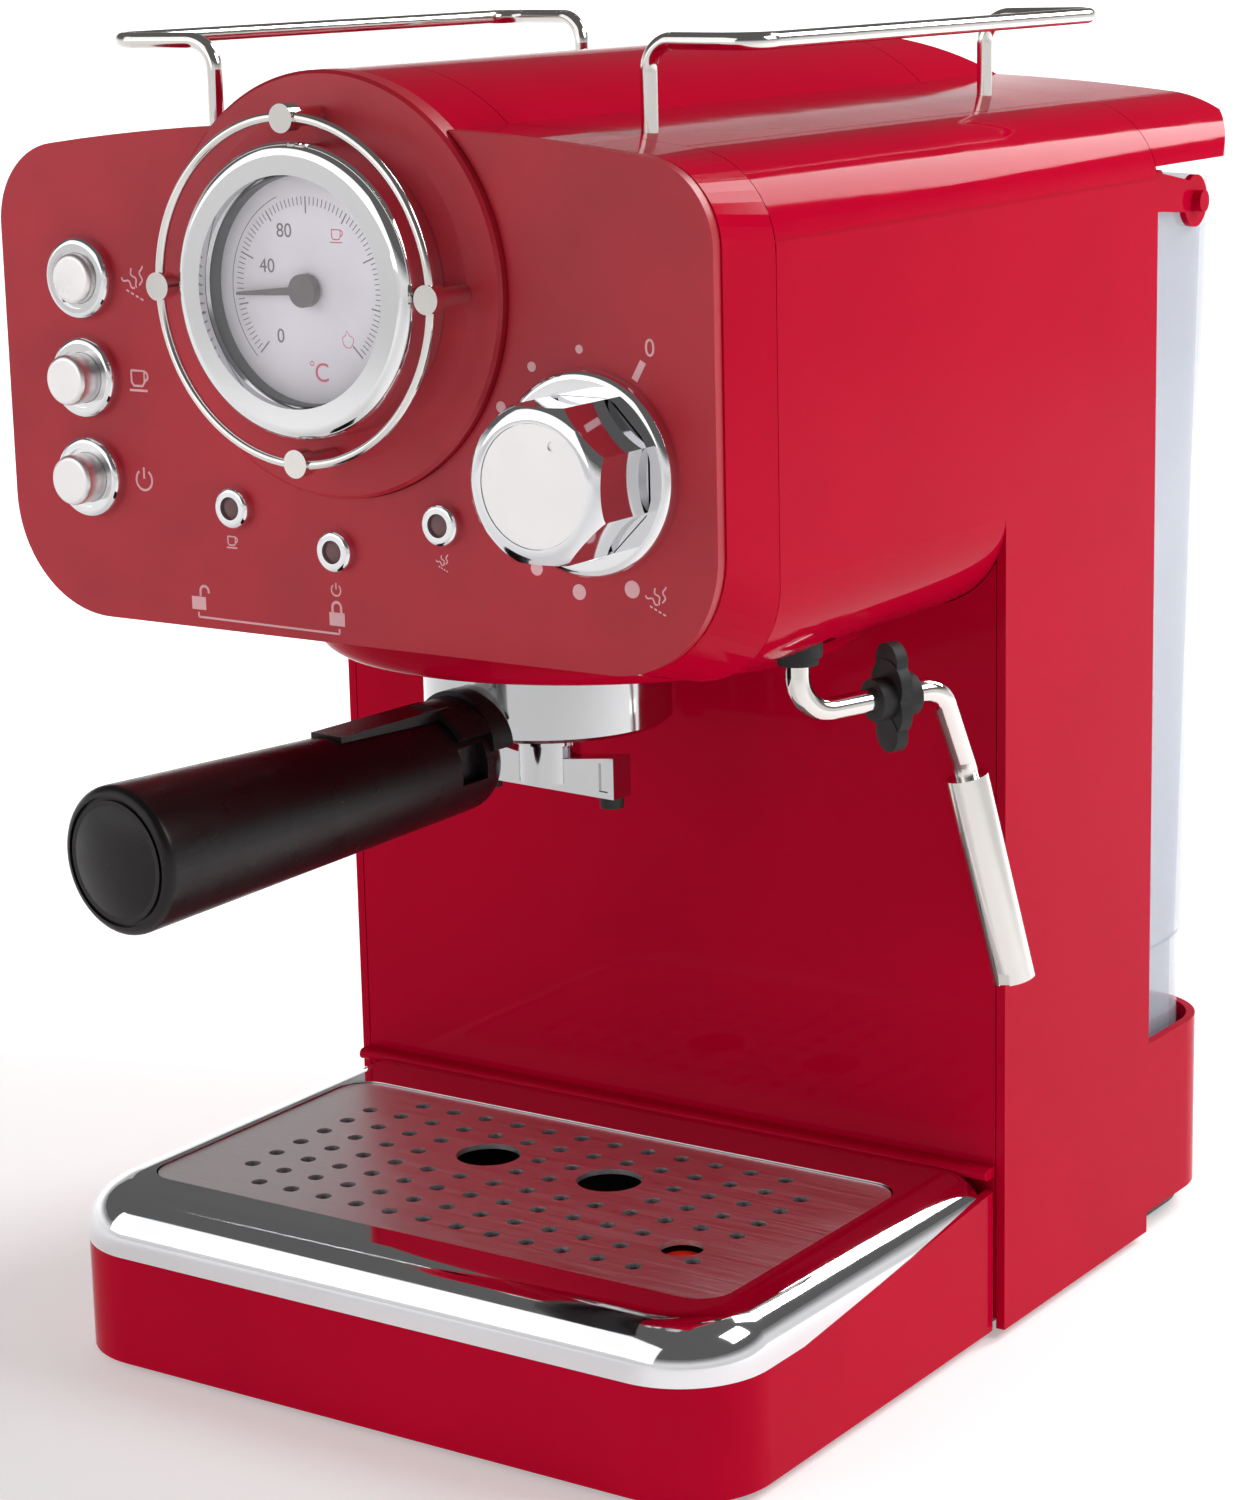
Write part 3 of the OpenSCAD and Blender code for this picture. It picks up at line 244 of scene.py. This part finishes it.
def line_shape(start, end, width):
    """Outline of a straight stroke."""
    along = Vector((end[0] - start[0], end[1] - start[1])).normalized()
    side = Vector((-along.y, along.x)) * width / 2
    a, b = Vector(start), Vector(end)
    return [tuple(a + side), tuple(a - side), tuple(b - side), tuple(b + side)]


def disc_shape(x, z, r, n=28):
    return [(x + r * math.cos(2 * math.pi * k / n), z + r * math.sin(2 * math.pi * k / n)) for k in range(n)]


def arc_points(x, z, r, start, end, n=18, squash=1.0):
    """Points on an arc; angles in degrees from +X."""
    steps = [math.radians(start + (end - start) * k / n) for k in range(n + 1)]
    return [(x + r * math.cos(a), z + r * squash * math.sin(a)) for a in steps]


def stroke_curve(name, lines, width):
    """Printed strokes, flattened to a film when they are placed."""
    curve = bpy.data.curves.new(name, "CURVE")
    curve.dimensions = "3D"
    curve.bevel_depth = width / 2 * MM
    curve.bevel_resolution = 3
    curve.use_fill_caps = True
    for points in lines:
        spline = curve.splines.new("POLY")
        spline.points.add(len(points) - 1)
        for point, (x, z) in zip(spline.points, points):
            point.co = (x * MM, 0, z * MM, 1)
    return curve


FILM = 0.18  # how far the printed strokes are flattened
PRINT_OUT, PRINT_DEPTH = 0.06, 0.1  # how far flat print stands out of its face, and how thick it is


def print_strokes(name, lines, width, spot, front, material, scale=1.0):
    """Places printed strokes on a face that looks along -Y."""
    piece = add_piece(name, stroke_curve(name, lines, width), material)
    piece.location = (spot[0] * MM, front * MM, spot[1] * MM)
    piece.scale = (scale, FILM, scale)
    settle(piece)


def print_text(name, text, size, spot, front, material):
    data = bpy.data.curves.new(name, "FONT")
    data.body = text
    data.size = size * MM
    data.align_x = "CENTER"
    data.align_y = "CENTER"
    data.extrude = 0.00005
    piece = add_piece(name, data, material)
    piece.location = (spot[0] * MM, front * MM, spot[1] * MM)
    piece.rotation_euler = (math.radians(90), 0, 0)
    settle(piece)


def cup_lines():
    """Cup with a handle on a saucer, about 6.5 wide."""
    body = [(-2.4, 2.2), (-2.4, -0.6), (-1.7, -1.5), (1.0, -1.5), (1.7, -0.6), (1.7, 2.2), (-2.4, 2.2)]
    handle = arc_points(1.7, 0.9, 1.1, 80, -80)
    saucer = [(-3.1, -2.6), (2.6, -2.6)]
    return [body, handle, saucer]


def steam_lines():
    """Jet from a nozzle: three curling plumes over a slanting dashed line, about 8 wide."""
    plumes = []
    for k, lean in enumerate((150, 118, 86)):
        away = Vector((math.cos(math.radians(lean)), math.sin(math.radians(lean))))
        side = Vector((-away.y, away.x))
        root = Vector((-0.2 + 1.1 * k, -1.6 + 0.35 * k))
        plumes.append([tuple(root + away * t * 5.6 + side * 0.55 * math.sin(t * 9.4 + k)) for t in
                       [i / 16 for i in range(17)]])
    dashes = [[(-3.4 + 1.7 * k, -2.3 - 0.75 * k), (-2.4 + 1.7 * k, -2.75 - 0.75 * k)] for k in range(4)]
    return plumes + dashes


def power_lines():
    return [arc_points(0, 0, 2.5, 125, 415, 28), [(0, 3.1), (0, 0.3)]]


def lock_lines(open_by):
    """Shackle of a padlock; open_by shifts it sideways off its body."""
    foot = 1.2 if open_by else 0.4
    return [[(-1.3 + open_by, 0.4)] + arc_points(open_by, 1.6, 1.3, 180, 0, 12) + [(1.3 + open_by, foot)]]


def make_fascia_prints():
    """Symbols beside the buttons and lamps, the lock scale and the marks round the knob."""
    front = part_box("fascia")[0].y / MM
    paint = MATERIALS["print_pink"]
    print_strokes("print_steam", steam_lines(), 0.55, (-61.0, 281.5), front, paint, 0.85)
    print_strokes("print_cup", cup_lines(), 0.62, (-61.4, 258.0), front, paint)
    print_strokes("print_power", power_lines(), 0.62, (-61.4, 233.6), front, paint)
    print_strokes("print_lamp_cup", cup_lines(), 0.75, (-34.4, 220.5), front, paint, 0.56)
    print_strokes("print_lamp_power", power_lines(), 0.75, (-3.2, 211.4), front, paint, 0.55)
    print_strokes("print_lamp_steam", steam_lines(), 0.8, (28.8, 220.6), front, paint, 0.42)
    print_strokes("print_lock_open", lock_lines(1.7), 0.7, (-45.6, 206.0), front, paint)
    print_strokes("print_lock_closed", lock_lines(0), 0.7, (-3.2, 205.6), front, paint)
    print_strokes("print_knob_steam", steam_lines(), 0.6, (88.0, 217.0), front, paint, 0.68)
    knob = (70.5, 244.2)
    shapes = [
        [(-48.0, 203.0), (-43.6, 203.0), (-43.6, 206.2), (-48.0, 206.2)],
        [(-5.5, 202.8), (-0.9, 202.8), (-0.9, 206.0), (-5.5, 206.0)],
        line_shape((-46.0, 201.2), (-2.6, 200.9), 0.5),
        line_shape((-46.0, 201.2), (-46.0, 202.4), 0.5),
        line_shape((-2.6, 200.9), (-2.6, 202.1), 0.5),
    ]
    for degrees, r in ((-4.7, 1.0), (-33.7, 1.15), (-61, 1.3), (-90, 1.45), (-118, 1.55), (-146, 1.65),
                       (-172, 1.8), (-202.5, 2.0)):
        a = math.radians(degrees)
        shapes.append(disc_shape(knob[0] + 27.5 * math.sin(a), knob[1] + 27.5 * math.cos(a), r))
    ahead = Vector((math.sin(math.radians(30)), math.cos(math.radians(30))))
    shapes.append(line_shape(tuple(Vector(knob) + ahead * 24.6), tuple(Vector(knob) + ahead * 29.4), 1.7))
    piece = add_piece("print_marks", slab_mesh("print_marks", shapes, front - PRINT_OUT, PRINT_DEPTH), paint)
    settle(piece)
    print_text("print_knob_zero", "0", 5.6, (87.0, 272.6), front, paint)


def make_dial_prints():
    """Temperature scale, numbers and symbols on the dial."""
    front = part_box("gauge_dial")[0].y / MM
    hub = (0.0, 282.9)
    ink = MATERIALS["dial_ink"]
    red = MATERIALS["dial_red"]
    bars = []
    for unit in range(0, 161, 2):
        a = math.radians(225 - unit * 270 / 160)
        inner = 17.4 if unit % 40 == 0 else 18.4 if unit % 20 == 0 else 19.3
        width = 0.32 if unit % 20 == 0 else 0.2
        ends = [(hub[0] + r * math.cos(a), hub[1] + r * math.sin(a)) for r in (inner, 21.2)]
        bars.append(line_shape(ends[0], ends[1], width))
    piece = add_piece("dial_ticks", slab_mesh("dial_ticks", bars, front - PRINT_OUT, PRINT_DEPTH), ink)
    settle(piece)
    print_strokes("dial_arc", [arc_points(0, 0, 22.5, 225, 112, 40)], 0.22, hub, front, ink)
    for text, spot in (("0", (-8.8, -11.0)), ("40", (-12.0, 5.0)), ("80", (-6.6, 13.2))):
        print_text("dial_" + text, text, 4.6, (hub[0] + spot[0], hub[1] + spot[1]), front, ink)
    print_text("dial_celsius", "C", 6.2, (hub[0] + 2.9, hub[1] - 19.0), front, red)
    print_strokes("dial_degree", [arc_points(0, 0, 0.5, 0, 360, 16)], 0.25, (hub[0] + 0.1, hub[1] - 16.8), front, red)
    print_strokes("dial_cup", cup_lines(), 0.5, (hub[0] + 8.7, hub[1] + 12.6), front, red, 0.6)
    flame = [[(-1.9, -1.2), (-2.2, 0.6), (-0.9, 1.5), (-0.4, 2.9), (0.5, 1.5), (2.1, 0.6), (1.8, -1.2), (0.8, -2.3),
              (-0.9, -2.3), (-1.9, -1.2)]]
    print_strokes("dial_steam", flame, 0.3, (hub[0] + 10.9, hub[1] - 11.0), front, red, 0.75)


def make_bezel_painted_shade():
    """Near-black sleeve between the dial and the glass, inside the bezel: painted shade standing in for the shadow
    ring round the dial.
    """
    low, high = (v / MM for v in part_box("gauge_dial"))
    dial_front = low.y
    lens_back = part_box("gauge_lens")[1].y / MM
    middle = (low + high) / 2
    outer = (high.x - low.x) / 2 - 0.05
    inner = outer - 0.3
    near, far = lens_back + 0.05, dial_front - 0.05
    ring = [(outer, far), (inner, far), (inner, near), (outer, near)]
    steps = 96
    verts = []
    faces = []
    for k in range(steps):
        a = 2 * math.pi * k / steps
        verts += [(r * math.cos(a) * MM, y * MM, (middle.z + r * math.sin(a)) * MM) for r, y in ring]
        here, after = 4 * k, 4 * ((k + 1) % steps)
        for side in range(4):
            turn = (side + 1) % 4
            faces.append((here + side, after + side, after + turn, here + turn))
    piece = add_piece("bezel_painted_shade", solid_mesh("bezel_painted_shade", verts, faces), MATERIALS["painted_bezel_shade"])
    settle(piece)


# ---------------------------------------------------------------- stage

CAMERA_PLACE = (0.5228, -0.7881, 0.3653)
CAMERA_AZIMUTH = 34.24
CAMERA_DROP = 13.09
CAMERA_ROLL = -1.28
CAMERA_LENS = 86.45


def make_camera():
    """Looks back and to the left, down a little, from the front right."""
    turn, drop, roll = (math.radians(a) for a in (CAMERA_AZIMUTH, CAMERA_DROP, CAMERA_ROLL))
    ahead = Vector((-math.sin(turn) * math.cos(drop), math.cos(turn) * math.cos(drop), -math.sin(drop)))
    right = Vector((math.cos(turn), math.sin(turn), 0))
    up = right.cross(ahead)
    x = right * math.cos(roll) + up * math.sin(roll)
    y = up * math.cos(roll) - right * math.sin(roll)
    data = bpy.data.cameras.new("camera")
    data.lens = CAMERA_LENS
    data.sensor_width = 36
    data.sensor_fit = "AUTO"
    data.clip_start = 0.05
    camera = bpy.data.objects.new("camera", data)
    camera.matrix_world = Matrix.Translation(CAMERA_PLACE) @ Matrix((x, y, -ahead)).transposed().to_4x4()
    bpy.context.scene.collection.objects.link(camera)
    bpy.context.scene.camera = camera


def area_light(name, place, target, size, power):
    data = bpy.data.lights.new(name, "AREA")
    data.shape = "RECTANGLE"
    data.size, data.size_y = size
    data.energy = power
    light = bpy.data.objects.new(name, data)
    light.location = place
    light.rotation_euler = (Vector(target) - Vector(place)).to_track_quat("-Z", "Y").to_euler()
    bpy.context.scene.collection.objects.link(light)


def dish_mesh(reach, rise, bend, spokes=96):
    """Round floor whose rim curves up into a wall, as a studio sweep."""
    profile = [(0.0, 0.0), (reach - bend, 0.0)]
    for k in range(1, 13):
        a = math.radians(90 * k / 12)
        profile.append((reach - bend + bend * math.sin(a), bend - bend * math.cos(a)))
    profile.append((reach, rise))
    verts = [(0, 0, 0)]
    faces = []
    for r, z in profile[1:]:
        for k in range(spokes):
            a = 2 * math.pi * k / spokes
            verts.append((r * math.cos(a), r * math.sin(a), z))
    for k in range(spokes):
        faces.append((0, 1 + k, 1 + (k + 1) % spokes))
    for ring in range(len(profile) - 2):
        low, high = 1 + ring * spokes, 1 + (ring + 1) * spokes
        for k in range(spokes):
            after = (k + 1) % spokes
            faces.append((low + k, high + k, high + after, low + after))
    mesh = bpy.data.meshes.new("sweep")
    mesh.from_pydata(verts, [], faces)
    for poly in mesh.polygons:
        poly.use_smooth = True
    return mesh


def make_stage():
    """White sweep, a dim room above it, and soft boxes in front, at the side and above."""
    floor_mat, tree, shader, place = new_material("floor_pale", (0.88, 0.88, 0.88), 0.7)
    split = tree.nodes.new("ShaderNodeSeparateXYZ")
    tree.links.new(place, split.inputs["Vector"])
    height = split.outputs["Z"]
    vary_color(tree, shader, spread(tree, height, 0.7, 0.3, 0.4, 0.85), (0.28, 0.28, 0.28), (0.88, 0.88, 0.88))
    tree.links.new(spread(tree, height, 0.34, 0.05, 0.35, 0.8), shader.inputs["Emission Strength"])
    shader.inputs["Emission Color"].default_value = (1, 1, 1, 1)
    shader.inputs["Specular IOR Level"].default_value = 0.1
    floor = bpy.data.objects.new("floor", dish_mesh(2.8, 0.95, 0.6))
    floor.data.materials.append(floor_mat)
    bpy.context.scene.collection.objects.link(floor)

    world = bpy.data.worlds.new("studio")
    bpy.context.scene.world = world
    world.use_nodes = True
    nodes = world.node_tree.nodes
    nodes["Background"].inputs["Color"].default_value = (1, 1, 1, 1)
    nodes["Background"].inputs["Strength"].default_value = 0.12

    aim = (0, -0.02, 0.18)
    area_light("front", (-0.9, -1.7, 1.0), aim, (2.4, 1.5), 13)
    area_light("side", (0.75, 0.25, 0.75), (0.1, 0.05, 0.25), (0.5, 0.4), 4.3)
    area_light("streak", (0.55, 1.6, 1.4), (0.09, 0, 0.3), (0.6, 1.1), 26)
    area_light("behind", (-0.55, 0.8, 1.6), (-1.6, 2.3, 0.3), (1.6, 0.8), 35)
    bpy.context.scene.view_settings.view_transform = "Standard"


dress_cad()
make_fascia_prints()
make_dial_prints()
make_bezel_painted_shade()
make_camera()
make_stage()
